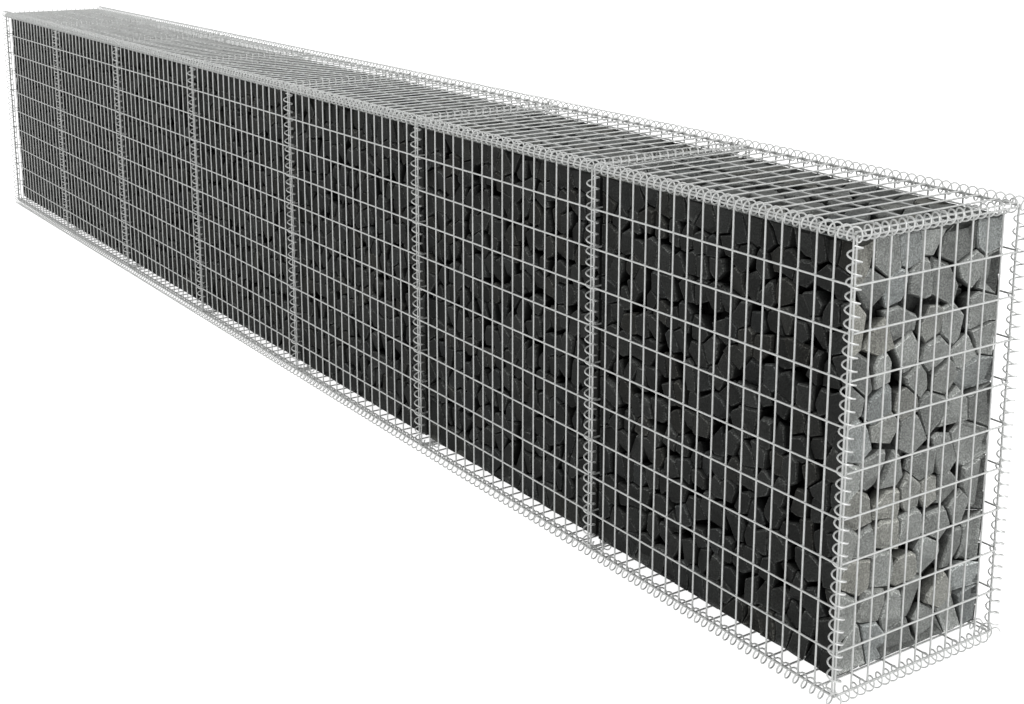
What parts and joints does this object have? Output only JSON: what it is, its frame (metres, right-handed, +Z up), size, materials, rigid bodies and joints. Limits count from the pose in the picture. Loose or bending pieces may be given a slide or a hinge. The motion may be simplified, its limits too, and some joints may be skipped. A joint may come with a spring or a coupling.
{
  "type": "gabion wall",
  "caption": "Long free-standing wall of welded mesh baskets in a row, laced together with wire spirals along every edge and filled with angular dark stone.",
  "frame": {"origin": "on the ground, under the middle of the wall's length and depth, at the underside of the lowest spirals", "axes": "+X along the wall, +Y from the front to the back, +Z up"},
  "size_m": [6.0712, 0.5464, 1.0465],
  "materials": {
    "mesh_wire": "galvanised, dull silver",
    "spiral_wire": "galvanised, bright silver",
    "stone": "rough split stone, charcoal to greenish grey"
  },
  "bodies": {
    "root": {"front_panel_1": "mesh_wire", "front_panel_2": "mesh_wire", "front_panel_3": "mesh_wire", "front_panel_4": "mesh_wire", "front_panel_5": "mesh_wire", "front_panel_6": "mesh_wire", "front_panel_7": "mesh_wire", "back_panel_1": "mesh_wire", "back_panel_2": "mesh_wire", "back_panel_3": "mesh_wire", "back_panel_4": "mesh_wire", "back_panel_5": "mesh_wire", "back_panel_6": "mesh_wire", "back_panel_7": "mesh_wire", "lid_panel_1": "mesh_wire", "lid_panel_2": "mesh_wire", "lid_panel_3": "mesh_wire", "lid_panel_4": "mesh_wire", "lid_panel_5": "mesh_wire", "lid_panel_6": "mesh_wire", "lid_panel_7": "mesh_wire", "base_panel_1": "mesh_wire", "base_panel_2": "mesh_wire", "base_panel_3": "mesh_wire", "base_panel_4": "mesh_wire", "base_panel_5": "mesh_wire", "base_panel_6": "mesh_wire", "base_panel_7": "mesh_wire", "left_end_panel": "mesh_wire", "right_end_panel": "mesh_wire", "partition_panel_1": "mesh_wire", "partition_panel_2": "mesh_wire", "partition_panel_3": "mesh_wire", "partition_panel_4": "mesh_wire", "partition_panel_5": "mesh_wire", "partition_panel_6": "mesh_wire", "stone_fill_1": "stone", "stone_fill_2": "stone", "stone_fill_3": "stone", "stone_fill_4": "stone", "stone_fill_5": "stone", "stone_fill_6": "stone", "stone_fill_7": "stone", "base_front_spiral": "spiral_wire", "base_back_spiral": "spiral_wire", "top_front_spiral": "spiral_wire", "top_back_spiral": "spiral_wire", "joint_spirals_1": "spiral_wire", "joint_spirals_2": "spiral_wire", "joint_spirals_3": "spiral_wire", "joint_spirals_4": "spiral_wire", "joint_spirals_5": "spiral_wire", "joint_spirals_6": "spiral_wire", "left_end_spirals": "spiral_wire", "right_end_spirals": "spiral_wire"}
  },
  "joints": []
}
